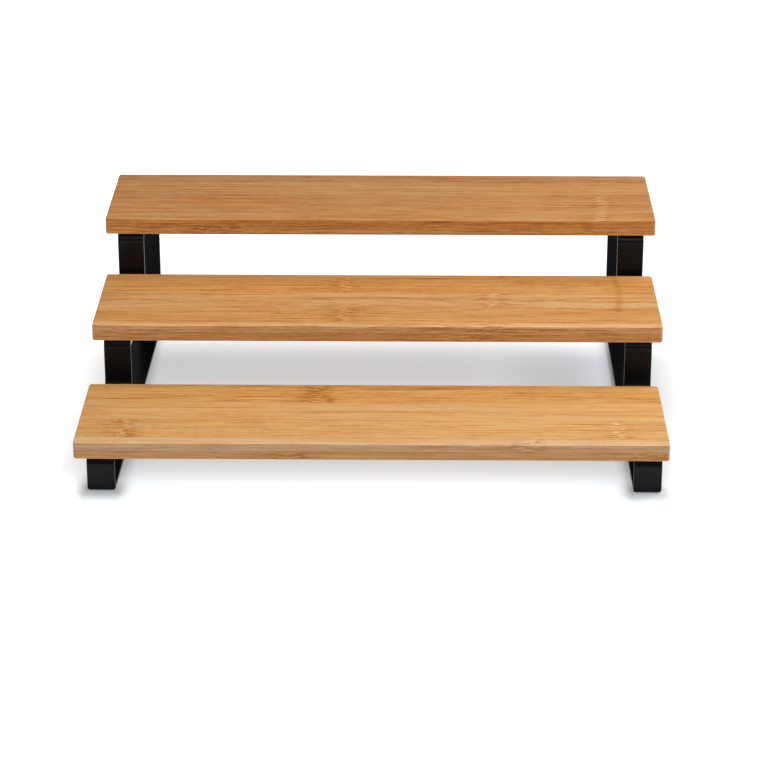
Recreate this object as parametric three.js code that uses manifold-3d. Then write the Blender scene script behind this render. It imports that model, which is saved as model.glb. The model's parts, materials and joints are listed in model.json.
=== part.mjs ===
// Tiered shelf riser: three laminated bamboo boards on two side frames bent
// from flat steel bar. Millimetres, +X right, +Y back, +Z up. The origin is on
// the ground, under the middle of the whole object.
import * as THREE from 'three';
import { mergeVertices } from 'three/addons/utils/BufferGeometryUtils.js';
import Module from 'manifold-3d';

// ---- driving dimensions -------------------------------------------------
const BOARD_L = 336;            // board length, left to right
const BOARD_D = 87;             // board depth, front to back
const BOARD_T = 10;             // two 5 mm plies glued together
const BOARD_EASE = 0.8;         // rounding of the board's long and end edges
const BOARD_CORNER = 1.8;       // rounding of the board's corners in plan
const BOARD_FRONT = [0, 91.5, 174];     // front edge of each board, from the lowest one's
const BOARD_UNDER = [24.5, 60, 97.5];     // underside of each board above the ground
const BOARD_SHIFT = [-1.5, 0.7, 1.5];   // how far each board sits off the centre line

const STEEL_W = 16;             // flat bar width
const STEEL_T = 2;              // flat bar thickness
const STEEL_EASE = 0.3;         // eased edge of the flat bar
const BEND_OUT = 9.5;           // outer radius of every bend
const BEND_IN = BEND_OUT - STEEL_T;
const RISER_SET = 10;           // riser face behind its board's front edge
const BACK_OUT = 10;            // back leg's rear face behind the top board's back edge
const FRAME_X = 163.5;          // outer face of a frame from the centre line, at the front
const FRAME_TOE = { left: 1.0, right: 0 };  // degrees that a frame closes in towards the back, as screwed on
const BEND_STEPS = 8;           // facets in a quarter bend

const GAP = 0.3;                // clearance between pieces that touch
const FOOT_Z = 1.0;             // lower end of the steel above the ground
const PAD_T = FOOT_Z - GAP;     // anti-slip pad thickness
const PAD_L = 20, PAD_W = 12, PAD_R = 3;
const PAD_FROM_LEG = 16;        // pad centre from the leg's inner face

const SCREW_AT = [26, 66];      // screws behind the board's front edge
const SHANK_R = 1.75, SHANK_IN_WOOD = 7, TIP_L = 2;
const HEAD_R = 3.5, HEAD_H = 2;
const STEEL_HOLE_R = 2.3, PILOT_R = 2.1, PILOT_DEPTH = 7.6;

// ---- derived -------------------------------------------------------------
const DEPTH = BOARD_FRONT[2] + BOARD_D + BACK_OUT;
const RISER_Y = BOARD_FRONT.map((y) => y + RISER_SET);
const BACK_Y = DEPTH;
const TREAD_Z = BOARD_UNDER.map((z) => z - GAP);
const SIDES = { left: -1, right: 1 };
const TIERS = ['lower', 'middle', 'upper'];

// ---- materials -----------------------------------------------------------
const bamboo = [0xd8a265, 0xce9257, 0xc08957].map((c) => new THREE.MeshStandardMaterial({ color: c, roughness: 0.55, metalness: 0 }));
const blackSteel = new THREE.MeshStandardMaterial({ color: 0x1b1b1d, roughness: 0.45, metalness: 0.3 });
const zinc = new THREE.MeshStandardMaterial({ color: 0x2a2a2c, roughness: 0.35, metalness: 0.9 });
const rubber = new THREE.MeshStandardMaterial({ color: 0x232323, roughness: 0.9, metalness: 0 });

// ---- solid helpers -------------------------------------------------------
const wasm = await Module();
wasm.setup();

function solid(geometry) {
  const g = geometry.index ? geometry.clone() : geometry.clone();
  g.deleteAttribute('normal');
  g.deleteAttribute('uv');
  const m = mergeVertices(g, 1e-4);
  return new wasm.Manifold(new wasm.Mesh({
    numProp: 3,
    vertProperties: new Float32Array(m.attributes.position.array),
    triVerts: new Uint32Array(m.index.array),
  }));
}

function geometryOf(manifold) {
  const mesh = manifold.getMesh();
  const pos = new Float32Array((mesh.vertProperties.length / mesh.numProp) * 3);
  for (let i = 0; i < pos.length / 3; i++) {
    for (let k = 0; k < 3; k++) pos[3 * i + k] = mesh.vertProperties[i * mesh.numProp + k];
  }
  const g = new THREE.BufferGeometry();
  g.setAttribute('position', new THREE.BufferAttribute(pos, 3));
  g.setIndex(new THREE.BufferAttribute(new Uint32Array(mesh.triVerts), 1));
  g.computeVertexNormals();
  return g;
}

// an upright cylinder of radius r from z0 to z1
function uprightCylinder(x, y, z0, z1, r, sides = 16) {
  const g = new THREE.CylinderGeometry(r, r, z1 - z0, sides);
  g.rotateX(Math.PI / 2);
  g.translate(x, y, (z0 + z1) / 2);
  return g;
}

function drilled(geometry, holes) {
  let body = solid(geometry);
  for (const h of holes) body = body.subtract(solid(h));
  return geometryOf(body);
}

function roundedRect(w, d, r, steps = 4) {
  const s = new THREE.Shape();
  const c = [[w / 2 - r, d / 2 - r, 0], [-w / 2 + r, d / 2 - r, 1], [-w / 2 + r, -d / 2 + r, 2], [w / 2 - r, -d / 2 + r, 3]];
  const pts = [];
  for (const [x, y, q] of c) {
    for (let i = 0; i <= steps; i++) {
      const a = (q + i / steps) * Math.PI / 2;
      pts.push(new THREE.Vector2(x + r * Math.cos(a), y + r * Math.sin(a)));
    }
  }
  s.setFromPoints(pts);
  return s;
}

// ---- side frame geometry, in the frame's own upright plane ---------------
// A frame's plane has y along its depth and z up. across = 0 at the outer face.
function arc(cy, cz, r, a0, a1) {
  const pts = [];
  for (let i = 0; i <= BEND_STEPS; i++) {
    const a = THREE.MathUtils.degToRad(a0 + (a1 - a0) * i / BEND_STEPS);
    pts.push(new THREE.Vector2(cy + r * Math.cos(a), cz + r * Math.sin(a)));
  }
  return pts;
}

// the strip's edge-on outline: up the front riser, over the three treads and
// down the back leg, then back along the underside
function stepOutline() {
  const bends = [];
  for (let k = 0; k < 3; k++) {
    bends.push([RISER_Y[k] + BEND_OUT, TREAD_Z[k] - BEND_OUT, 180, 90, BEND_OUT, BEND_IN]);
    if (k < 2) bends.push([RISER_Y[k + 1] - BEND_IN, TREAD_Z[k] + BEND_IN, 270, 360, BEND_IN, BEND_OUT]);
  }
  bends.push([BACK_Y - BEND_OUT, TREAD_Z[2] - BEND_OUT, 90, 0, BEND_OUT, BEND_IN]);
  const face = [new THREE.Vector2(RISER_Y[0], FOOT_Z)];
  const rear = [new THREE.Vector2(RISER_Y[0] + STEEL_T, FOOT_Z)];
  for (const [cy, cz, a0, a1, rf, rr] of bends) {
    face.push(...arc(cy, cz, rf, a0, a1));
    rear.push(...arc(cy, cz, rr, a0, a1));
  }
  face.push(new THREE.Vector2(BACK_Y, FOOT_Z));
  rear.push(new THREE.Vector2(BACK_Y - STEEL_T, FOOT_Z));
  return new THREE.Shape([...face, ...rear.reverse()]);
}

// extrudes an outline drawn in (y, z) across x by width, with eased edges
function acrossX(shape, width, ease) {
  const g = new THREE.ExtrudeGeometry(shape, {
    depth: width - 2 * ease, steps: 1, curveSegments: 1,
    bevelEnabled: true, bevelThickness: ease, bevelSize: ease, bevelOffset: -ease, bevelSegments: 1,
  });
  g.translate(0, 0, ease);
  g.applyMatrix4(new THREE.Matrix4().makeBasis(
    new THREE.Vector3(0, 1, 0), new THREE.Vector3(0, 0, 1), new THREE.Vector3(1, 0, 0)));
  return g;                                        // x from 0 to width
}

// frame coordinates to the object's: the frame turns about its front outer edge
function frameMatrix(side) {
  const s = SIDES[side];
  return new THREE.Matrix4()
    .makeTranslation(s * FRAME_X, RISER_Y[0] - DEPTH / 2, 0)
    .multiply(new THREE.Matrix4().makeRotationZ(s * THREE.MathUtils.degToRad(FRAME_TOE[side])))
    .multiply(new THREE.Matrix4().makeTranslation(s > 0 ? -STEEL_W : 0, -RISER_Y[0], 0));
}

function screwPoint(side, tier, n) {               // on the ground plane
  return new THREE.Vector3(STEEL_W / 2, BOARD_FRONT[tier] + SCREW_AT[n], 0).applyMatrix4(frameMatrix(side));
}

function screwGeometry() {                          // head's bearing face at z = 0, shank up
  const shank = STEEL_T + 2 * GAP + SHANK_IN_WOOD - GAP;
  const p = [
    [0, -HEAD_H], [HEAD_R * 0.45, -HEAD_H * 0.97], [HEAD_R * 0.82, -HEAD_H * 0.72], [HEAD_R, -HEAD_H * 0.35],
    [HEAD_R, 0], [SHANK_R, 0], [SHANK_R, shank - TIP_L], [SHANK_R * 0.3, shank], [0, shank],
  ].map(([r, z]) => new THREE.Vector2(r, z));
  const g = new THREE.LatheGeometry(p, 16);
  g.rotateX(Math.PI / 2);
  return g;
}

// ---- assembly ------------------------------------------------------------
const riser = new THREE.Group();
riser.name = 'tiered_shelf_riser';

function add(parent, name, geometry, material) {
  const m = new THREE.Mesh(geometry, material);
  m.name = name;
  parent.add(m);
  return m;
}

// boards, each with four blind pilot holes in its underside
TIERS.forEach((tier, k) => {
  const plan = roundedRect(BOARD_L, BOARD_D, BOARD_CORNER);
  const g = new THREE.ExtrudeGeometry(plan, {
    depth: BOARD_T - 2 * BOARD_EASE, steps: 1, curveSegments: 1,
    bevelEnabled: true, bevelThickness: BOARD_EASE, bevelSize: BOARD_EASE, bevelOffset: -BOARD_EASE, bevelSegments: 3,
  });
  const x = BOARD_SHIFT[k], y = BOARD_FRONT[k] + BOARD_D / 2 - DEPTH / 2, z = BOARD_UNDER[k];
  g.translate(0, 0, BOARD_EASE);
  const holes = [];
  for (const side of Object.keys(SIDES)) {
    for (let n = 0; n < SCREW_AT.length; n++) {
      const p = screwPoint(side, k, n);
      holes.push(uprightCylinder(p.x - x, p.y - y, -1, PILOT_DEPTH, PILOT_R, 12));
    }
  }
  const board = add(riser, `${tier}_board`, drilled(g, holes), bamboo[k]);
  board.position.set(x, y, z);
});

// side frames: the bent step strip and the flat base bar welded between its feet
for (const side of Object.keys(SIDES)) {
  const frame = new THREE.Group();
  frame.applyMatrix4(frameMatrix(side));
  riser.add(frame);

  const holes = [];
  for (let k = 0; k < 3; k++) {
    for (const at of SCREW_AT) {
      holes.push(uprightCylinder(STEEL_W / 2, BOARD_FRONT[k] + at, TREAD_Z[k] - STEEL_T - 1, TREAD_Z[k] + 1, STEEL_HOLE_R, 16));
    }
  }
  add(frame, `${side}_step_strip`, drilled(acrossX(stepOutline(), STEEL_W, STEEL_EASE), holes), blackSteel);

  const y0 = RISER_Y[0] + STEEL_T + GAP, y1 = BACK_Y - STEEL_T - GAP;
  const bar = new THREE.Shape([
    new THREE.Vector2(y0, FOOT_Z), new THREE.Vector2(y1, FOOT_Z),
    new THREE.Vector2(y1, FOOT_Z + STEEL_T), new THREE.Vector2(y0, FOOT_Z + STEEL_T)]);
  add(frame, `${side}_base_bar`, acrossX(bar, STEEL_W, STEEL_EASE), blackSteel);

  // anti-slip pads stuck under the base bar, near each leg
  for (const [end, y] of [['front', y0 + PAD_FROM_LEG], ['rear', y1 - PAD_FROM_LEG]]) {
    const g = new THREE.ExtrudeGeometry(roundedRect(PAD_W, PAD_L, PAD_R), { depth: PAD_T, steps: 1, bevelEnabled: false });
    const pad = add(frame, `${side}_${end}_pad`, g, rubber);
    pad.position.set(STEEL_W / 2, y, 0);
  }
}

// screws, up through each tread into its board
TIERS.forEach((tier, k) => {
  for (const side of Object.keys(SIDES)) {
    ['front', 'rear'].forEach((end, n) => {
      const p = screwPoint(side, k, n);
      const s = add(riser, `${tier}_board_screw_${side}_${end}`, screwGeometry(), zinc);
      s.position.set(p.x, p.y, TREAD_Z[k] - STEEL_T - GAP);
    });
  }
});

riser.updateMatrixWorld(true);
export default riser;
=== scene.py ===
# Tiered shelf riser: three laminated bamboo boards on two bent flat-steel side frames.
import bpy, bmesh, json, math
from mathutils import Matrix, Vector

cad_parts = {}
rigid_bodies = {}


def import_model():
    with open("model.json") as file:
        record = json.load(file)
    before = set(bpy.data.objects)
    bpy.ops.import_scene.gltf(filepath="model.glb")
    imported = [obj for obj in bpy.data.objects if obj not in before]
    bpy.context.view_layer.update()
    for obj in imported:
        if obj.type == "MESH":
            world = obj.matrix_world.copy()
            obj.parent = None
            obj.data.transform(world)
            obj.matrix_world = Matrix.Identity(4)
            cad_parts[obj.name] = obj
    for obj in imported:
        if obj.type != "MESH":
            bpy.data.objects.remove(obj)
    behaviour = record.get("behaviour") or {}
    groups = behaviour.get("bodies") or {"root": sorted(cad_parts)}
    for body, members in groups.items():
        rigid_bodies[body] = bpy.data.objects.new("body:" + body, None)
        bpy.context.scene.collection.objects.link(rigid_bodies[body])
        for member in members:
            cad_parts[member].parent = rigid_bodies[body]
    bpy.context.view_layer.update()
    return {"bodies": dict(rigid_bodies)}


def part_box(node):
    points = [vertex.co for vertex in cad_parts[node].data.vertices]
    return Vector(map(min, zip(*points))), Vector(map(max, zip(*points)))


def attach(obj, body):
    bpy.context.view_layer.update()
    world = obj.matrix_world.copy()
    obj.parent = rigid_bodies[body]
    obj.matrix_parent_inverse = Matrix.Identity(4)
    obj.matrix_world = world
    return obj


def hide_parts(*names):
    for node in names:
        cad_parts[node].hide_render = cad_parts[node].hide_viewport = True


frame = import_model()
MM = 0.001

# ---- the model's own dimensions, in millimetres ---------------------------
BOARD_T = 10.0
BOARD_D = 87.0
EASE = 0.75
CORNER = 1.8
STEEL_W, STEEL_T, STEEL_R = 16.0, 2.0, 0.42
BEND_OUT, BEND_IN = 9.5, 7.5
DEPTH = 271.0
RISER_Y = [10.0, 101.5, 184.0]
BACK_Y = 271.0
LIFT = 0.22                       # the treads close the gap under the boards
TREAD_Z = [24.2 + LIFT, 59.7 + LIFT, 97.2 + LIFT]
FOOT_Z = 1.0
FRAME_X = 163.5
TOE = {"left": 1.0, "right": 0.0}
SCREW_AT = [26.0, 66.0]
BOARD_FRONT = [0.0, 91.5, 174.0]
HOLE_R, PILOT_R, PILOT_DEPTH = 2.3, 2.05, 7.6
TIERS = ["lower", "middle", "upper"]
SIDES = {"left": -1, "right": 1}


def frame_matrix(side):
    s = SIDES[side]
    return (Matrix.Translation((s * FRAME_X, RISER_Y[0] - DEPTH / 2, 0))
            @ Matrix.Rotation(math.radians(s * TOE[side]), 4, "Z")
            @ Matrix.Translation((-STEEL_W if s > 0 else 0, -RISER_Y[0], 0)))


# ---- camera ---------------------------------------------------------------
def make_camera():
    F, pitch, yaw, roll = 2747.36, math.radians(22.4315), math.radians(-0.7274), math.radians(0.0282)
    C = Vector((21.456, -1412.464 - DEPTH / 2, 656.63)) * MM
    cp, sp, cy, sy = math.cos(pitch), math.sin(pitch), math.cos(yaw), math.sin(yaw)
    fwd = Vector((sy * cp, cy * cp, -sp))
    right = Vector((cy, -sy, 0.0))
    down = fwd.cross(right)
    r2 = math.cos(roll) * right + math.sin(roll) * down
    d2 = -math.sin(roll) * right + math.cos(roll) * down
    m = Matrix.Identity(4)
    for i in range(3):
        m[i][0], m[i][1], m[i][2], m[i][3] = r2[i], -d2[i], -fwd[i], C[i]
    cam = bpy.data.cameras.new("camera")
    cam.sensor_fit = "HORIZONTAL"
    cam.sensor_width = 36.0
    cam.lens = F / 760 * 36.0
    cam.clip_start, cam.clip_end = 0.05, 30.0
    ob = bpy.data.objects.new("camera", cam)
    bpy.context.scene.collection.objects.link(ob)
    ob.matrix_world = m
    bpy.context.scene.camera = ob


# ---- node helpers ----------------------------------------------------------
class Tree:
    """Builds a material's nodes from sockets and numbers."""

    def __init__(self, name):
        self.mat = bpy.data.materials.new(name)
        self.mat.use_nodes = True
        self.t = self.mat.node_tree
        self.t.nodes.clear()
        self.out = self.t.nodes.new("ShaderNodeOutputMaterial")
        self.bsdf = self.t.nodes.new("ShaderNodeBsdfPrincipled")
        self.t.links.new(self.bsdf.outputs[0], self.out.inputs[0])

    def put(self, socket, value):
        if hasattr(value, "is_output"):
            self.t.links.new(value, socket)
        else:
            socket.default_value = value

    def math(self, op, a, b=0.0, c=0.0, clamp=False):
        n = self.t.nodes.new("ShaderNodeMath")
        n.operation, n.use_clamp = op, clamp
        for s, v in zip(n.inputs, (a, b, c)):
            self.put(s, v)
        return n.outputs[0]

    def add(self, a, b): return self.math("ADD", a, b)
    def sub(self, a, b): return self.math("SUBTRACT", a, b)
    def mul(self, a, b): return self.math("MULTIPLY", a, b)
    def maxi(self, a, b): return self.math("MAXIMUM", a, b)

    def gauss(self, d, w):
        q = self.mul(d, 1.0 / w)
        return self.math("EXPONENT", self.mul(self.mul(q, q), -1.0))

    def step(self, x, lo, hi, to0=0.0, to1=1.0):
        n = self.t.nodes.new("ShaderNodeMapRange")
        n.interpolation_type = "SMOOTHSTEP"
        n.clamp = True
        for s, v in zip(n.inputs, (x, lo, hi, to0, to1)):
            self.put(s, v)
        return n.outputs[0]

    def xyz(self, x, y, z):
        n = self.t.nodes.new("ShaderNodeCombineXYZ")
        for s, v in zip(n.inputs, (x, y, z)):
            self.put(s, v)
        return n.outputs[0]

    def split(self, v):
        n = self.t.nodes.new("ShaderNodeSeparateXYZ")
        self.put(n.inputs[0], v)
        return n.outputs

    def scaled(self, v, k):
        n = self.t.nodes.new("ShaderNodeVectorMath")
        n.operation = "SCALE"
        self.put(n.inputs[0], v)
        n.inputs["Scale"].default_value = k
        return n.outputs[0]

    def noise(self, vec, scale=1.0, detail=2.0, rough=0.5, distort=0.0):
        n = self.t.nodes.new("ShaderNodeTexNoise")
        n.noise_dimensions = "3D"
        self.put(n.inputs["Vector"], vec)
        n.inputs["Scale"].default_value = scale
        n.inputs["Detail"].default_value = detail
        n.inputs["Roughness"].default_value = rough
        n.inputs["Distortion"].default_value = distort
        return n.outputs[0]

    def cells(self, vec, scale=1.0, randomness=1.0):
        n = self.t.nodes.new("ShaderNodeTexVoronoi")
        n.feature = "F1"
        self.put(n.inputs["Vector"], vec)
        n.inputs["Scale"].default_value = scale
        n.inputs["Randomness"].default_value = randomness
        return n.outputs["Distance"]

    def mix(self, fac, a, b, mode="MIX"):
        n = self.t.nodes.new("ShaderNodeMix")
        n.data_type, n.blend_type = "RGBA", mode
        n.clamp_factor = True
        self.put(n.inputs[0], fac)
        self.put(n.inputs[6], a if hasattr(a, "is_output") else (*a, 1.0))
        self.put(n.inputs[7], b if hasattr(b, "is_output") else (*b, 1.0))
        return n.outputs[2]

    def grey(self, value):
        n = self.t.nodes.new("ShaderNodeCombineColor")
        for s in n.inputs:
            self.put(s, value)
        return n.outputs[0]

    def bump(self, height, strength, distance, normal=None):
        n = self.t.nodes.new("ShaderNodeBump")
        n.inputs["Strength"].default_value = strength
        n.inputs["Distance"].default_value = distance
        self.put(n.inputs["Height"], height)
        if normal is not None:
            self.put(n.inputs["Normal"], normal)
        return n.outputs[0]

    def coords(self):
        n = self.t.nodes.new("ShaderNodeTexCoord")
        return self.scaled(n.outputs["Object"], 1000.0)

    def geometry_normal(self):
        n = self.t.nodes.new("ShaderNodeTexCoord")
        return self.split(n.outputs["Normal"])


# ---- bamboo ------------------------------------------------------------------
def bamboo(name, seed, tone, upper, lower, knots, lines, face):
    """Flat-pressed bamboo in two plies. upper and lower list a ply's strips as (y where the strip ends, colour,
    contrast) from the front edge back; knots list a culm knuckle as (x, y0, y1, ply, dark, pale); lines are thin cross
    lines (x, y0, y1, ply, strength); face is the tint of the sawn sides as (upper ply, lower ply), partly their own
    tone and partly painted shade that darkens them against the top."""
    t = Tree(name)
    X, Y, Z = t.split(t.coords())
    wav = t.noise(t.xyz(t.mul(X, 0.011), seed, t.mul(Z, 0.02)), 1.0, 1.0)
    Yw = t.add(Y, t.mul(t.sub(wav, 0.5), 0.9))                      # glue lines wander a little
    is_up = t.step(Z, -0.04, 0.04)
    is_lo = t.sub(1.0, is_up)

    def field(strips):
        v, hop, amp = strips[0][1], 0.0, strips[0][2]
        for i, (y, _, _) in enumerate(strips[:-1]):
            s = t.step(Yw, y - 0.08, y + 0.08)
            v = t.mix(s, v, strips[i + 1][1])
            hop = t.add(t.mul(s, 7.31 + i * 3.7), hop)
            amp = t.add(t.mul(s, strips[i + 1][2] - strips[i][2]), amp)
        return v, hop, amp

    up, hop_u, amp_u = field(upper)
    lo, hop_l, amp_l = field(lower)
    base = t.mix(is_up, lo, up)
    hop = t.add(t.mul(is_up, t.add(hop_u, 11.0)), t.mul(is_lo, t.add(hop_l, 31.0)))
    Xs = t.add(X, t.mul(hop, 41.0))                                 # every strip has its own figure
    Zs = t.add(Z, t.mul(hop, 3.0))

    # where the culm knuckles are: distance along X to the nearest one, and its strength
    D, M, W = 0.0, 0.0, 0.0
    for x0, y0, y1, ply, k, kp in knots:
        m = t.mul(t.step(Y, y0 - 0.5, y0 + 0.5), t.sub(1.0, t.step(Y, y1 - 0.5, y1 + 0.5)))
        m = t.mul(m, is_up if ply > 0 else is_lo)
        m = t.mul(m, t.step(t.math("ABSOLUTE", t.sub(X, x0)), 46.0, 34.0))
        D = t.add(t.mul(m, t.sub(X, x0)), D)
        M = t.add(t.mul(m, k), M)
        W = t.add(t.mul(m, kp), W)
    L = 0.0
    for x0, y0, y1, ply, k in lines:
        m = t.mul(t.step(Y, y0 - 0.5, y0 + 0.5), t.sub(1.0, t.step(Y, y1 - 0.5, y1 + 0.5)))
        bow = t.sub(t.mul(t.gauss(t.sub(Y, (y0 + y1) / 2 + 6.0), 12.0), 1.6), t.mul(t.step(Y, y0 + 18.0, y0), 0.9))
        L = t.add(t.mul(t.mul(m, t.gauss(t.sub(t.sub(X, x0), bow), 1.9)), k), L)
        hook = t.mul(t.gauss(t.sub(Y, y0 + 1.6), 1.1), t.gauss(t.sub(X, x0 - 0.8), 3.2))
        L = t.add(t.mul(t.mul(hook, is_up if ply > 0 else is_lo), k), L)

    Q = t.add(Y, t.mul(Z, 1.4))                                     # runs down the front face too
    sweep = t.mul(t.sub(t.noise(t.xyz(seed, t.mul(Q, 0.06), hop), 1.0, 0.0), 0.5), 9.0)
    Dk = t.sub(D, sweep)
    swell = t.mul(t.gauss(Dk, 9.0), M)
    swirl = t.noise(t.xyz(t.mul(X, 0.10), t.mul(Y, 0.30), t.mul(Z, 0.30)), 1.0, 1.0)
    drift = t.noise(t.xyz(t.mul(Xs, 0.006), t.mul(Y, 0.02), seed), 1.0, 0.0)
    shift = t.add(t.mul(t.mul(t.sub(swirl, 0.5), 7.0), swell), t.mul(t.sub(drift, 0.5), 2.0))
    Yb, Zb = t.add(Y, shift), t.add(Zs, t.mul(shift, 0.4))

    n1 = t.noise(t.xyz(t.mul(Xs, 0.006), t.mul(Yb, 0.10), t.mul(Zb, 0.16)), 1.0, 1.0, 0.5)
    n2 = t.noise(t.xyz(t.mul(Xs, 0.0080), t.mul(Yb, 0.50), t.mul(Zb, 0.95)), 1.0, 2.0, 0.62)
    n3 = t.noise(t.xyz(t.mul(Xs, 0.0085), t.mul(Yb, 1.15), t.mul(Zb, 1.6)), 1.0, 2.0, 0.62)
    n4 = t.noise(t.xyz(t.mul(Xs, 0.040), t.mul(Yb, 0.78), t.mul(Zb, 1.3)), 1.0, 1.0, 0.55)
    n5 = t.noise(t.xyz(t.mul(Xs, 0.16), t.mul(Yb, 0.85), t.mul(Zb, 1.5)), 1.0, 1.0, 0.55)
    hue = t.noise(t.xyz(t.mul(Xs, 0.010), t.mul(Yb, 0.36), t.mul(Zs, 0.5)), 1.0, 1.0, 0.5)
    vein = t.noise(t.xyz(t.mul(Xs, 0.0060), t.mul(Yb, 1.3), t.mul(Zb, 1.5)), 1.0, 1.0, 0.5)
    short = t.noise(t.xyz(t.mul(Xs, 0.12), t.mul(Yb, 0.75), t.mul(Zb, 0.8)), 1.0, 2.0, 0.6)

    v = t.mul(t.sub(n1, 0.5), tone["n1"])
    v = t.add(v, t.mul(t.sub(n2, 0.5), tone["n2"]))
    v = t.add(v, t.mul(t.sub(n3, 0.5), tone["n3"]))
    nx, ny, nz = t.geometry_normal()
    side = t.step(t.math("ABSOLUTE", nz), 0.75, 0.35)
    fine = t.add(t.mul(t.sub(n4, 0.5), tone["n4"]), t.mul(t.sub(n5, 0.5), tone["n5"]))
    v = t.add(v, t.mul(fine, t.add(1.0, t.mul(side, 0.8))))
    v = t.mul(v, t.add(t.mul(is_up, amp_u), t.mul(is_lo, amp_l)))

    # the knuckle: a pale zigzag, brown wedges beside it, and darker streaks that trail off both ways
    zn = t.noise(t.xyz(seed, t.mul(Q, 0.30), hop), 1.0, 1.0, 0.6)
    saw = t.math("PINGPONG", t.add(Q, t.mul(zn, 5.0)), 1.55)
    zig = t.mul(t.sub(saw, 0.78), t.add(1.2, t.mul(zn, 6.0)))
    e = t.sub(Dk, zig)
    lum = t.noise(t.xyz(t.mul(X, 0.16), t.mul(Q, 0.85), seed), 1.0, 1.0, 0.5)
    core = t.mul(t.gauss(Dk, 8.0), M)
    pale = t.mul(t.mul(t.gauss(e, 1.25), W), t.step(lum, 0.30, 0.55))
    side_k = t.step(t.sub(zn, 0.5), -0.05, 0.05)
    wedge = t.add(t.mul(t.gauss(t.sub(e, 4.2), 2.6), side_k), t.mul(t.gauss(t.add(e, 4.0), 2.7), t.sub(1.0, side_k)))
    wedge = t.mul(wedge, t.mul(M, t.step(short, 0.36, 0.58)))
    trail = t.mul(t.mul(t.gauss(t.add(Dk, 7.0), 20.0), M), t.step(n2, 0.48, 0.62))
    fleck = t.mul(core, t.step(short, 0.50, 0.66))
    cream = t.mul(core, t.step(short, 0.46, 0.32))
    v = t.sub(v, t.mul(core, 0.35))
    v = t.sub(v, t.add(t.mul(wedge, 1.25), t.add(t.mul(trail, 0.85), t.mul(fleck, 1.0))))
    v = t.add(v, t.add(t.mul(pale, 1.25), t.mul(cream, 0.55)))
    v = t.sub(v, t.mul(t.step(vein, 0.58, 0.72), 0.50))

    low = t.math("MULTIPLY", v, -0.56, clamp=True)
    high = t.math("MULTIPLY", v, 0.56, clamp=True)
    col = t.mix(t.step(hue, 0.50, 0.66), base, t.mix(1.0, base, tone["orange"], "MULTIPLY"))
    col = t.mix(t.step(hue, 0.48, 0.34), col, t.mix(1.0, base, tone["straw"], "MULTIPLY"))
    col = t.mix(low, col, t.mix(1.0, col, tone["deep"], "MULTIPLY"))
    col = t.mix(high, col, t.mix(1.0, col, tone["light"], "MULTIPLY"))
    col = t.mix(t.mul(pale, 0.45), col, t.mix(1.0, col, tone["crest"], "MULTIPLY"))

    if hasattr(L, "is_output"):
        col = t.mix(t.mul(L, 0.9), col, t.mix(1.0, col, tone["line"], "MULTIPLY"))

    # glue lines between strips and between the plies
    dark = t.mix(1.0, base, tone["glue"], "MULTIPLY")
    for strips, on in ((upper, is_up), (lower, is_lo)):
        for y, _, _ in strips[:-1]:
            col = t.mix(t.mul(t.mul(t.gauss(t.sub(Yw, y), 0.22), on), 0.40), col, dark)
    # the sawn sides are tinted darker: partly their own tone, partly painted shade against the top
    side_tone_and_painted_shade = t.mix(is_up, face[1], face[0])
    col = t.mix(side, col, t.mix(1.0, col, side_tone_and_painted_shade, "MULTIPLY"))
    col = t.mix(t.mul(t.gauss(Z, 0.26), t.mul(side, 0.62)), col, t.mix(1.0, col, tone["glue"], "MULTIPLY"))
    # the ends show cut fibres
    ends = t.step(t.math("ABSOLUTE", nx), 0.5, 0.85)
    pores = t.cells(t.xyz(t.mul(Xs, 0.05), t.mul(Y, 1.25), t.mul(Zs, 1.45)), 1.0, 0.9)
    pore = t.step(pores, 0.42, 0.16)
    col = t.mix(ends, col, t.mix(pore, t.mix(1.0, base, tone["end"], "MULTIPLY"), t.mix(1.0, base, tone["pore"], "MULTIPLY")))

    t.put(t.bsdf.inputs["Base Color"], col)
    t.put(t.bsdf.inputs["Roughness"], t.add(t.add(0.42, t.mul(n3, 0.16)), t.mul(ends, 0.18)))
    t.bsdf.inputs["IOR"].default_value = 1.46
    t.bsdf.inputs["Specular IOR Level"].default_value = 0.30
    h = t.add(t.mul(n3, 0.6), t.mul(n4, 0.4))
    h = t.sub(h, t.mul(pore, t.mul(ends, 1.5)))
    t.put(t.bsdf.inputs["Normal"], t.bump(h, 0.30, 0.00006))
    return t.mat


def powder_coat(name, colour, rough=0.20, peel=0.11):
    t = Tree(name)
    p = t.coords()
    fine = t.noise(p, 2.2, 2.0, 0.5)
    wide = t.noise(p, 0.28, 2.0, 0.5)
    grit = t.noise(p, 7.0, 1.0, 0.5)
    col = t.mix(t.mul(wide, 0.5), colour, tuple(c * 1.35 for c in colour))
    col = t.mix(t.mul(t.step(grit, 0.62, 0.78), 0.25), col, tuple(c * 2.2 for c in colour))
    t.put(t.bsdf.inputs["Base Color"], col)
    t.put(t.bsdf.inputs["Roughness"], t.add(rough, t.mul(fine, 0.10)))
    t.bsdf.inputs["IOR"].default_value = 1.5
    t.bsdf.inputs["Specular IOR Level"].default_value = 0.125
    t.put(t.bsdf.inputs["Normal"], t.bump(t.add(fine, t.mul(grit, 0.25)), peel, 0.00005))
    return t.mat


def black_oxide(name):
    t = Tree(name)
    p = t.coords()
    n = t.noise(p, 1.8, 3.0, 0.6)
    worn = t.noise(p, 0.9, 2.0, 0.5)
    col = t.mix(t.step(worn, 0.55, 0.75), (0.030, 0.030, 0.033), (0.075, 0.072, 0.070))
    t.put(t.bsdf.inputs["Base Color"], col)
    t.bsdf.inputs["Metallic"].default_value = 0.85
    t.put(t.bsdf.inputs["Roughness"], t.add(0.30, t.mul(n, 0.22)))
    t.put(t.bsdf.inputs["Normal"], t.bump(n, 0.15, 0.00003))
    return t.mat


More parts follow.
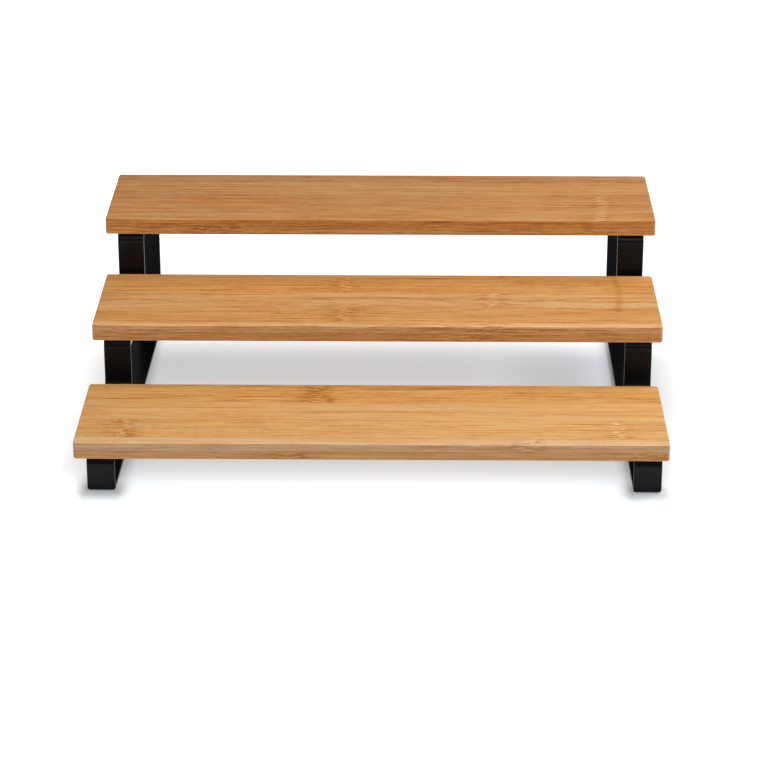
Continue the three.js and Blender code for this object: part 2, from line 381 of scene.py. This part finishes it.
def rubber(name):
    t = Tree(name)
    p = t.coords()
    n = t.noise(p, 3.5, 2.0, 0.6)
    X, Y, Z = t.split(p)
    ribs = t.math("SINE", t.mul(t.add(X, Y), 3.6))
    ribs2 = t.math("SINE", t.mul(t.sub(X, Y), 3.6))
    t.put(t.bsdf.inputs["Base Color"], t.mix(n, (0.014, 0.014, 0.014), (0.030, 0.029, 0.028)))
    t.put(t.bsdf.inputs["Roughness"], t.add(0.72, t.mul(n, 0.2)))
    t.put(t.bsdf.inputs["Normal"], t.bump(t.add(t.mul(n, 0.5), t.mul(t.mul(ribs, ribs2), 0.5)), 0.35, 0.0001))
    return t.mat


# ---- mesh helpers ------------------------------------------------------------
def finish_mesh(name, bm, material, angle=35.0, weighted=True):
    bmesh.ops.recalc_face_normals(bm, faces=bm.faces[:])
    me = bpy.data.meshes.new(name)
    bm.to_mesh(me)
    bm.free()
    for p in me.polygons:
        p.use_smooth = True
    me.set_sharp_from_angle(angle=math.radians(angle))
    me.materials.append(material)
    ob = bpy.data.objects.new(name, me)
    bpy.context.scene.collection.objects.link(ob)
    if weighted:
        m = ob.modifiers.new("normals", "WEIGHTED_NORMAL")
        m.keep_sharp = True
        m.weight = 80
    return ob


def cut(ob, cutters):
    """Cuts the holes and drops the cutters."""
    for i, c in enumerate(cutters):
        m = ob.modifiers.new(f"cut{i}", "BOOLEAN")
        m.operation, m.object, m.solver = "DIFFERENCE", c, "EXACT"
    weighted = ob.modifiers.get("normals")
    if weighted:
        ob.modifiers.remove(weighted)
    dg = bpy.context.evaluated_depsgraph_get()
    new = bpy.data.meshes.new_from_object(ob.evaluated_get(dg), depsgraph=dg)
    ob.modifiers.clear()
    old = ob.data
    ob.data = new
    new.name = old.name + "_cut"
    bpy.data.meshes.remove(old)
    for p in new.polygons:
        p.use_smooth = True
        p.material_index = 0
    while len(new.materials) > 1:
        new.materials.pop(index=len(new.materials) - 1)
    new.set_sharp_from_angle(angle=math.radians(35))
    for c in cutters:
        me = c.data
        bpy.data.objects.remove(c)
        bpy.data.meshes.remove(me)
    m = ob.modifiers.new("normals", "WEIGHTED_NORMAL")
    m.keep_sharp, m.weight = True, 80


def cylinder(name, centre, z0, z1, r, n=32, matrix=None):
    bm = bmesh.new()
    bmesh.ops.create_cone(bm, cap_ends=True, segments=n, radius1=r * MM, radius2=r * MM, depth=(z1 - z0) * MM,
                          matrix=Matrix.Translation((centre[0] * MM, centre[1] * MM, (z0 + z1) / 2 * MM)))
    me = bpy.data.meshes.new(name)
    bm.to_mesh(me)
    bm.free()
    ob = bpy.data.objects.new(name, me)
    bpy.context.scene.collection.objects.link(ob)
    if matrix is not None:
        ob.matrix_world = matrix
    return ob


def loft(bm, rings, close=True):
    """Quads between rings of equal length; the first and last ring are capped."""
    vs = [[bm.verts.new(p) for p in ring] for ring in rings]
    n = len(vs[0])
    for a, b in zip(vs[:-1], vs[1:]):
        for i in range(n):
            j = (i + 1) % n
            bm.faces.new((a[i], a[j], b[j], b[i]))
    if close:
        bm.faces.new(list(reversed(vs[0])))
        bm.faces.new(vs[-1])
    return vs


def smooth_hash(x, seed):
    """A gentle, repeatable wobble between -1 and 1."""
    return (math.sin(x * 0.021 + seed * 1.7) + 0.6 * math.sin(x * 0.053 + seed * 3.1) + 0.35 * math.sin(x * 0.137 + seed * 5.3)) / 1.95


def board_outline(w, d, r, inset, step=9.0, arc=8):
    """A rounded rectangle, counter-clockwise, with extra points along its straight edges."""
    hw, hd = w / 2, d / 2
    pts = []
    corners = [(hw - r, hd - r, 0), (-hw + r, hd - r, 1), (-hw + r, -hd + r, 2), (hw - r, -hd + r, 3)]
    rr = r - inset
    for k, (cx, cy, q) in enumerate(corners):
        for i in range(arc + 1):
            a = (q + i / arc) * math.pi / 2
            pts.append((cx + rr * math.cos(a), cy + rr * math.sin(a)))
        nx_, ny_, _ = corners[(k + 1) % 4]
        a = (q + 1) * math.pi / 2
        x0, y0 = cx + rr * math.cos(a), cy + rr * math.sin(a)
        x1, y1 = nx_ + rr * math.cos(a), ny_ + rr * math.sin(a)
        n = max(1, round(math.hypot(x1 - x0, y1 - y0) / step))
        for i in range(1, n):
            pts.append((x0 + (x1 - x0) * i / n, y0 + (y1 - y0) * i / n))
    return pts


def board(tier, k, material):
    lo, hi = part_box(f"{tier}_board")
    cx, cy, cz = [(a + b) / 2 for a, b in zip(lo, hi)]
    w, d, th = [(b - a) / MM for a, b in zip(lo, hi)]
    h = th / 2
    seg = 6
    prof = []                                          # (inset, z, wobble share)
    for i in range(seg + 1):                           # bottom edge, eased
        a = i / seg * math.pi / 2
        prof.append((EASE * (1 - math.sin(a)), -h + EASE * (1 - math.cos(a))))
    prof += [(0.0, -0.22), (0.06, -0.07), (0.06, 0.07), (0.0, 0.22)]      # the glue line's shallow groove
    for i in range(seg + 1):                           # top edge, eased
        a = i / seg * math.pi / 2
        prof.append((EASE * (1 - math.cos(a)), h - EASE * (1 - math.sin(a))))
    bm = bmesh.new()
    rings = []
    for j, (inset, z) in enumerate(prof):
        ring = []
        for x, y in board_outline(w, d, CORNER, inset):
            e = 0.0
            if 0 < j < len(prof) - 1:
                e = -0.035 * (1 + smooth_hash(x + 400 * (y > 0), k + 2.0 + (z > 0) * 4.0)) * (0 < inset < EASE)
            s = 1 + e / max(abs(y), 1) if abs(y) > abs(x) * 0.2 else 1.0
            ring.append((x * MM, y * s * MM, z * MM))
        rings.append(ring)
    loft(bm, rings)
    ob = finish_mesh(f"board_{tier}_bamboo", bm, material, 50)
    ob.location = (cx, cy, cz)
    cutters = []
    for side in SIDES:
        for at in SCREW_AT:
            p = frame_matrix(side) @ Vector((STEEL_W / 2, BOARD_FRONT[k] + at, 0))
            cutters.append(cylinder("cutter", (p.x - cx / MM, p.y - cy / MM), -h - 1, -h + PILOT_DEPTH, PILOT_R, 24,
                                    Matrix.Translation((cx, cy, cz))))
    bpy.context.view_layer.update()
    cut(ob, cutters)
    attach(ob, BODY)
    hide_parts(f"{tier}_board")
    return ob


BODY = "root" if "root" in frame["bodies"] else list(frame["bodies"])[0]


# ---- steel -------------------------------------------------------------------
def strip_path():
    """Stations along the bent strip: (face point, rear point) in (y, z)."""
    bends = []
    for k in range(3):
        bends.append((RISER_Y[k] + BEND_OUT, TREAD_Z[k] - BEND_OUT, 180, 90, BEND_OUT, BEND_IN))
        if k < 2:
            bends.append((RISER_Y[k + 1] - BEND_IN, TREAD_Z[k] + BEND_IN, 270, 360, BEND_IN, BEND_OUT))
    bends.append((BACK_Y - BEND_OUT, TREAD_Z[2] - BEND_OUT, 90, 0, BEND_OUT, BEND_IN))
    st = []
    r = 1.1                                             # rounded corners of the cut end
    ends = []
    for i in range(5):
        a = i / 4 * math.pi / 2
        ends.append((r * (1 - math.cos(a)), r * (1 - math.sin(a))))   # (up from the end, drawn in at the corners)
    for up, inset in ends:
        st.append(((RISER_Y[0], FOOT_Z + up), (RISER_Y[0] + STEEL_T, FOOT_Z + up), inset))
    n = 18
    for cy, cz, a0, a1, rf, rr in bends:
        for i in range(n + 1):
            a = math.radians(a0 + (a1 - a0) * i / n)
            st.append(((cy + rf * math.cos(a), cz + rf * math.sin(a)), (cy + rr * math.cos(a), cz + rr * math.sin(a)), 0.0))
    for up, inset in reversed(ends):
        st.append(((BACK_Y, FOOT_Z + up), (BACK_Y - STEEL_T, FOOT_Z + up), inset))
    return st


def section(width, thick, r, n=4):
    """A flat bar's section as (across, through) pairs, with eased edges."""
    pts = []
    for cx, cy, q in ((width - r, thick - r, 0), (r, thick - r, 1), (r, r, 2), (width - r, r, 3)):
        for i in range(n + 1):
            a = (q + i / n) * math.pi / 2
            pts.append((cx + r * math.cos(a), cy + r * math.sin(a)))
    return pts


def step_strip(side, material):
    sec = section(STEEL_W, STEEL_T, STEEL_R)
    bm = bmesh.new()
    rings = []
    for face, rear, inset in strip_path():
        ring = []
        for u, w in sec:
            f = w / STEEL_T
            uu = STEEL_W / 2 + (u - STEEL_W / 2) * (STEEL_W / 2 - inset) / (STEEL_W / 2)
            ring.append((uu * MM, (face[0] + (rear[0] - face[0]) * f) * MM, (face[1] + (rear[1] - face[1]) * f) * MM))
        rings.append(ring)
    loft(bm, rings)
    m = frame_matrix(side)
    m.translation *= MM
    ob = finish_mesh(f"{side}_bent_strip", bm, material, 40)
    ob.matrix_world = m
    cutters = []
    for k in range(3):
        for at in SCREW_AT:
            cutters.append(cylinder("cutter", (STEEL_W / 2, BOARD_FRONT[k] + at), TREAD_Z[k] - STEEL_T - 1, TREAD_Z[k] + 1, HOLE_R, 32, m))
    bpy.context.view_layer.update()
    cut(ob, cutters)
    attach(ob, BODY)
    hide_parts(f"{side}_step_strip")
    return ob


def base_bar(side, material):
    y0, y1 = RISER_Y[0] + STEEL_T + 0.05, BACK_Y - STEEL_T - 0.05
    sec = section(STEEL_W, STEEL_T, STEEL_R)
    bm = bmesh.new()
    ys = [y0, y0 + 0.25] + [y0 + 0.25 + (y1 - y0 - 0.5) * i / 24 for i in range(1, 24)] + [y1 - 0.25, y1]
    rings = []
    for y in ys:
        inset = 0.25 if y in (y0, y1) else 0.0
        rings.append([((STEEL_W / 2 + (u - STEEL_W / 2) * (1 - inset / 8)) * MM, y * MM,
                       (FOOT_Z + STEEL_T / 2 + (w - STEEL_T / 2) * (1 - inset)) * MM) for u, w in sec])
    loft(bm, rings)
    ob = finish_mesh(f"{side}_flat_bar", bm, material, 40)
    m = frame_matrix(side)
    m.translation *= MM
    ob.matrix_world = m
    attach(ob, BODY)
    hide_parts(f"{side}_base_bar")
    # a fillet weld across the bar where it meets each leg
    for end, yc, sgn in (("front", RISER_Y[0] + STEEL_T, 1), ("rear", BACK_Y - STEEL_T, -1)):
        bm = bmesh.new()
        rings = []
        n = 72
        for i in range(n + 1):
            f = i / n
            x = 0.9 + (STEEL_W - 1.8) * f
            tip = min(1.0, math.sqrt(max(0.0, 1 - (abs(f - 0.5) / 0.5) ** 8)) + 0.02)
            ripple = 0.10 * math.cos((x + 0.25 * math.sin(x * 1.3)) * 2 * math.pi / 1.25)
            leg = (2.1 + ripple + 0.12 * math.sin(x * 0.9 + sgn)) * tip
            ring = [(0.0, 0.0), (leg, 0.0)]
            for j in range(1, 8):
                a = j / 8 * math.pi / 2
                bulge = 0.80 + 0.06 * math.sin(2 * a)
                ring.append((leg * math.cos(a) ** 0.9 * bulge, leg * math.sin(a) ** 0.9 * bulge))
            ring.append((0.0, leg))
            rings.append([(x * MM, (yc + sgn * (p - 0.12)) * MM, (FOOT_Z + STEEL_T - 0.12 + q) * MM) for p, q in ring])
        loft(bm, rings)
        wd = finish_mesh(f"{side}_{end}_weld", bm, material, 60, weighted=False)
        wd.matrix_world = m
        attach(wd, BODY)
    return ob


# ---- screws and pads -----------------------------------------------------------
def screw_mesh():
    """Pan head with a cross recess, thread above; the head's bearing face is at z = 0."""
    bm = bmesh.new()
    prof = [(0.0, -2.0), (0.9, -1.985), (1.8, -1.90), (2.6, -1.66), (3.15, -1.25), (3.42, -0.80), (3.5, -0.45), (3.5, -0.12),
            (3.42, 0.0), (1.72, 0.0), (1.62, 0.25)]
    z = 0.6
    pitch = 1.25
    while z < 7.4:
        taper = 1.0 if z < 6.0 else 1.0 - (z - 6.0) / 3.2
        prof += [(1.12 * taper, z), (1.15 * taper, z + pitch * 0.30), (1.72 * taper, z + pitch * 0.5), (1.15 * taper, z + pitch * 0.68)]
        z += pitch
    prof += [(0.45, 8.6), (0.0, 9.15)]
    n = 32
    rows = []
    for r, zz in prof:
        if r == 0.0:
            rows.append([bm.verts.new((0, 0, zz * MM))])
        else:
            rows.append([bm.verts.new((r * MM * math.cos(2 * math.pi * i / n), r * MM * math.sin(2 * math.pi * i / n), zz * MM)) for i in range(n)])
    for a, b in zip(rows[:-1], rows[1:]):
        for i in range(n):
            j = (i + 1) % n
            if len(a) == 1:
                bm.faces.new((a[0], b[j], b[i]))
            elif len(b) == 1:
                bm.faces.new((a[i], a[j], b[0]))
            else:
                bm.faces.new((a[i], a[j], b[j], b[i]))
    return bm


def cross_cutter():
    bm = bmesh.new()
    for turn in (0, math.pi / 2):
        lo_, hi_ = (0.9, 0.32), (2.05, 0.55)             # at the bottom and at the mouth: half length, half width
        v = []
        for z, (l, w) in ((-0.75, lo_), (-2.3, hi_)):
            for sx, sy in ((-1, -1), (1, -1), (1, 1), (-1, 1)):
                x, y = sx * l, sy * w
                v.append(bm.verts.new(((x * math.cos(turn) - y * math.sin(turn)) * MM, (x * math.sin(turn) + y * math.cos(turn)) * MM,
                                       (z + (0.0003 if turn else 0)) * MM)))
        for f in ((0, 1, 2, 3), (7, 6, 5, 4), (0, 4, 5, 1), (1, 5, 6, 2), (2, 6, 7, 3), (3, 7, 4, 0)):
            bm.faces.new([v[i] for i in f])
    bmesh.ops.recalc_face_normals(bm, faces=bm.faces[:])
    return bm


def screws(material):
    master = finish_mesh("screw_master", screw_mesh(), material, 40)
    bm = cross_cutter()
    me = bpy.data.meshes.new("cross")
    bm.to_mesh(me)
    bm.free()
    c = bpy.data.objects.new("cross", me)
    bpy.context.scene.collection.objects.link(c)
    mod = master.modifiers.new("cross", "BOOLEAN")
    mod.operation, mod.object, mod.solver, mod.use_self = "DIFFERENCE", c, "EXACT", True      # the two arms overlap
    bpy.context.view_layer.update()
    dg = bpy.context.evaluated_depsgraph_get()
    done = bpy.data.meshes.new_from_object(master.evaluated_get(dg), depsgraph=dg)
    bpy.data.objects.remove(master)
    bpy.data.objects.remove(c)
    for p in done.polygons:
        p.use_smooth = True
        p.material_index = 0
    while len(done.materials) > 1:
        done.materials.pop(index=len(done.materials) - 1)
    done.set_sharp_from_angle(angle=math.radians(38))
    i = 0
    for k, tier in enumerate(TIERS):
        for side in SIDES:
            for at, end in zip(SCREW_AT, ("front", "rear")):
                p = frame_matrix(side) @ Vector((STEEL_W / 2, BOARD_FRONT[k] + at, 0))
                me = done.copy()
                me.name = f"screw_{tier}_{side}_{end}"
                ob = bpy.data.objects.new(me.name, me)
                bpy.context.scene.collection.objects.link(ob)
                ob.matrix_world = (Matrix.Translation((p.x * MM, p.y * MM, (TREAD_Z[k] - STEEL_T - 0.02) * MM))
                                   @ Matrix.Rotation(0.37 + 1.13 * i, 4, "Z"))
                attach(ob, BODY)
                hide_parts(f"{tier}_board_screw_{side}_{end}")
                i += 1


def pads(material):
    for side in SIDES:
        for end, y in (("front", RISER_Y[0] + STEEL_T + 0.3 + 16), ("rear", BACK_Y - STEEL_T - 0.3 - 16)):
            bm = bmesh.new()
            rings = []
            for inset, z in ((0.25, 0.0), (0.07, 0.07), (0.0, 0.22), (0.0, 0.75), (0.05, 0.90), (0.15, 0.98)):
                rings.append([(x * MM, yy * MM, z * MM) for x, yy in board_outline(12, 20, 3, inset, 2.0, 8)])
            loft(bm, rings)
            ob = finish_mesh(f"{side}_{end}_rubber_pad", bm, material, 40)
            m = frame_matrix(side) @ Matrix.Translation((STEEL_W / 2, y, 0))
            m.translation *= MM
            ob.matrix_world = m
            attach(ob, BODY)
            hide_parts(f"{side}_{end}_pad")


# ---- stage and light -------------------------------------------------------------
# GLOW_NEAR and GLOW_FAR are the floor's glow round the object and far off; GLOW is its lower glow below the boards, a
# painted shadow
FLOOR, GLOW, GLOW_NEAR, GLOW_FAR = 0.42, 0.485, 0.84, 1.0
WORLD_LOW, WORLD_HIGH = 0.05, 0.34
KEY_WATTS = 14.5
TOP_WATTS = 16.5


def stage():
    bm = bmesh.new()
    bmesh.ops.create_grid(bm, x_segments=2, y_segments=2, size=8.0)
    me = bpy.data.meshes.new("floor")
    bm.to_mesh(me)
    bm.free()
    t = Tree("floor_glow_painted_shadows")
    n = t.t.nodes.new("ShaderNodeTexCoord")
    X, Y, Z = t.split(n.outputs["Object"])
    r = t.math("SQRT", t.add(t.mul(X, X), t.mul(Y, Y)))
    t.bsdf.inputs["Roughness"].default_value = 0.9
    t.bsdf.inputs["Specular IOR Level"].default_value = 0.0
    # the floor glows though it is no lamp, like a softly lit table in a product studio, bright all round; its glow is
    # cut down below the boards and close to the frames, so their shadows are painted in, not cast
    A = t.math("ABSOLUTE", X)
    # painted shadow: a soft patch below the boards where the glow drops to GLOW
    under = t.mul(t.step(A, 0.212, 0.168), t.mul(t.step(Y, -0.145, -0.060), t.step(Y, 0.124, 0.070)))
    glow = t.add(t.step(r, 0.30, 0.75, GLOW_NEAR, GLOW_FAR), t.mul(under, GLOW - GLOW_NEAR))
    # painted light: the glow is raised on the left to wash out the shadow that the top softbox throws there
    glow = t.add(glow, t.mul(t.step(X, -0.150, -0.178), 0.15))
    glow = t.add(glow, t.mul(t.step(X, -0.163, -0.182), t.step(Y, -0.10, -0.06, 0.0, 0.10)))
    # painted shadow: the glow is cut further below the right rear of the boards
    glow = t.sub(glow, t.mul(t.mul(under, t.step(X, 0.065, 0.128)), t.step(Y, -0.05, 0.02, 0.0, 0.15)))
    # painted contact shadows: the glow is darkened in bands along the inner and outer sides of the base bars and round
    # the feet
    out_x, in_x = t.maxi(t.sub(A, 0.1635), 0.0), t.maxi(t.sub(0.1475, A), 0.0)
    out_y = t.maxi(t.sub(t.math("ABSOLUTE", Y), 0.1255), 0.0)
    inside = t.maxi(t.sub(1.0, t.mul(in_x, 1.0 / 0.0085)), 0.0)
    painted_bar_shadow = t.mul(t.mul(t.gauss(out_x, 0.009), inside), t.gauss(out_y, 0.009))
    outer = t.add(t.step(X, -0.1, 0.1, 0.10, 0.30), t.mul(t.step(X, -0.1, 0.1), t.step(Y, -0.070, -0.100, 0.0, 0.15)))
    painted_bar_shadow = t.mul(painted_bar_shadow, t.mix(t.step(A, 0.1675, 0.1590), t.grey(outer), (0.51, 0.51, 0.51)))
    back = t.maxi(t.add(Y, 0.1255), 0.0)
    painted_foot_shadow = t.mul(t.mul(t.gauss(out_x, 0.0060), t.gauss(in_x, 0.0060)), t.mul(t.gauss(out_y, 0.0130), t.mul(t.gauss(back, 0.022), 0.74)))
    glow = t.mul(glow, t.sub(1.0, t.maxi(painted_bar_shadow, painted_foot_shadow)))
    # painted shadow colour: below the boards the floor's colour and glow turn cooler to cancel the warm light bounced
    # off the boards, and the glow is cooler in front between the frames
    painted_shade_tint_mask = t.mul(under, t.step(A, 0.176, 0.150))
    t.put(t.bsdf.inputs["Base Color"], t.mix(painted_shade_tint_mask, (FLOOR * 0.97, FLOOR, FLOOR * 1.02), (FLOOR * 0.85, FLOOR * 0.97, FLOOR * 1.12)))
    t.put(t.bsdf.inputs["Emission Color"], t.mix(t.step(Y, 0.02, -0.07), t.mix(t.mul(painted_shade_tint_mask, 0.6), (1.0, 1.0, 1.0), (0.985, 1.035, 1.085)),
                                                        t.mix(t.step(A, 0.176, 0.150), (1.0, 1.0, 1.0), (0.955, 1.030, 1.100))))
    t.put(t.bsdf.inputs["Emission Strength"], glow)
    me.materials.append(t.mat)
    ob = bpy.data.objects.new("floor", me)
    bpy.context.scene.collection.objects.link(ob)

    # a dim room round the table, brighter overhead
    world = bpy.data.worlds.new("studio")
    world.use_nodes = True
    w = world.node_tree
    bg = w.nodes["Background"]
    bg.inputs[0].default_value = (1, 1, 1, 1)
    tc, sep, mr = w.nodes.new("ShaderNodeTexCoord"), w.nodes.new("ShaderNodeSeparateXYZ"), w.nodes.new("ShaderNodeMapRange")
    w.links.new(tc.outputs["Generated"], sep.inputs[0])
    w.links.new(sep.outputs[2], mr.inputs[0])
    mr.interpolation_type = "SMOOTHSTEP"
    for i, v in zip((1, 2, 3, 4), (0.15, 0.60, WORLD_LOW, WORLD_HIGH)):
        mr.inputs[i].default_value = v
    w.links.new(mr.outputs[0], bg.inputs[1])
    bpy.context.scene.world = world

    def area(name, loc, target, size, watts, colour=(1, 1, 1)):
        l = bpy.data.lights.new(name, "AREA")
        l.shape, l.size, l.size_y, l.energy, l.color = "RECTANGLE", size[0], size[1], watts, colour
        o = bpy.data.objects.new(name, l)
        bpy.context.scene.collection.objects.link(o)
        o.location = loc
        o.rotation_euler = (Vector(target) - Vector(loc)).to_track_quat("-Z", "Y").to_euler()
        return o

    area("softbox_front", (0.42, -1.25, 0.92), (0, 0, 0.03), (1.6, 0.45), KEY_WATTS)
    area("softbox_top", (0.75, 0.0, 1.2), (0, 0, 0), (1.1, 1.1), TOP_WATTS)


scene = bpy.context.scene
scene.view_settings.view_transform = "Standard"
scene.view_settings.look = "None"

make_camera()

TONE = {
    "n1": 0.42, "n2": 2.2, "n3": 3.0, "n4": 2.3, "n5": 1.45,
    "deep": (0.62, 0.42, 0.24), "light": (1.17, 1.34, 1.65), "orange": (1.03, 0.91, 0.70), "straw": (0.98, 1.05, 1.14),
    "glue": (0.66, 0.52, 0.36), "line": (0.84, 0.71, 0.48), "crest": (1.13, 1.19, 1.30), "end": (0.80, 0.74, 0.66), "pore": (0.36, 0.26, 0.17),
}
A1, A2, A3, A4 = (0.5771, 0.2895, 0.0850), (0.6072, 0.3264, 0.1156), (0.6026, 0.3214, 0.1100), (0.6347, 0.3803, 0.1824)
B0, B1, B2, B3, B4 = (0.6316, 0.3347, 0.1186), (0.5615, 0.2725, 0.0788), (0.5612, 0.2893, 0.1050), (0.5475, 0.2623, 0.0768), (0.6380, 0.3396, 0.1401)
D1, D2, D3, D4 = (0.4229, 0.1930, 0.0679), (0.4789, 0.2279, 0.0762), (0.4778, 0.2150, 0.0690), (0.4913, 0.2278, 0.0752)
boards = {
    "lower": bamboo("bamboo_lower", 3.1, TONE,
                    [(-35.7, A4, 0.75), (-9.6, A3, 1.25), (16.5, A2, 1.0), (42.6, A1, 1.6), (44.0, A2, 1.0)],
                    [(-24.0, A3, 0.75), (2.0, A2, 1.0), (28.0, A3, 1.0), (44.0, A1, 1.0)],
                    [(-31.5, 15.7, 41.2, 1, 1.75, 1.2), (-142.8, -35.0, -9.6, 1, 1.30, 1.3), (138.6, -35.0, -9.6, 1, 0.55, 1.7),
                     (88.2, -43.6, -35.7, 1, 0.9, 1.4), (-46.2, -43.6, -24.0, -1, 1.4, 1.2), (154.4, -43.6, -24.0, -1, 1.1, 1.1)],
                    [], ((0.566, 0.553, 0.588), (0.601, 0.531, 0.484))),
    "middle": bamboo("bamboo_middle", 7.7, TONE,
                     [(-38.3, B4, 1.45), (-14.4, B3, 1.5), (11.7, B2, 1.6), (38.3, B1, 1.5), (44.0, B0, 1.1)],
                     [(-21.0, B3, 1.2), (5.0, B2, 1.1), (31.0, B1, 1.1), (44.0, B2, 1.1)],
                     [(-21.5, 11.7, 36.6, 1, 0.85, 1.3), (68.2, -14.4, 11.7, 1, 0.60, 1.8), (-19.0, -38.3, -14.4, 1, 0.85, 1.3),
                      (52.5, -43.6, -21.0, -1, 1.0, 1.2), (67.2, -43.6, -38.3, 1, 0.8, 1.1)],
                     [(144.4, -18.6, 43.0, 1, 0.9), (75.6, 38.3, 43.0, 1, 0.8)], ((0.639, 0.606, 0.591), (0.723, 0.659, 0.586))),
    "upper": bamboo("bamboo_upper", 12.4, TONE,
                    [(-21.8, D4, 1.45), (4.4, D3, 1.5), (29.6, D2, 1.5), (44.0, D1, 1.8)],
                    [(-30.0, D4, 1.5), (-4.0, D3, 1.2), (22.0, D2, 1.2), (44.0, D1, 1.2)],
                    [(-42.0, 29.6, 41.0, 1, 0.5, 0.3), (136.5, -43.6, 2.0, 1, 0.30, 2.1), (-97.5, -43.6, -30.0, -1, 1.4, 1.4)],
                    [], ((0.748, 0.646, 0.368), (0.814, 0.710, 0.451))),
}
steel = powder_coat("black_powder_coat", (0.0031, 0.0028, 0.0031))
oxide = black_oxide("black_oxide")
pad_mat = rubber("anti_slip_rubber")

for k, tier in enumerate(TIERS):
    board(tier, k, boards[tier])
for side in SIDES:
    step_strip(side, steel)
    base_bar(side, steel)
screws(oxide)
pads(pad_mat)
stage()
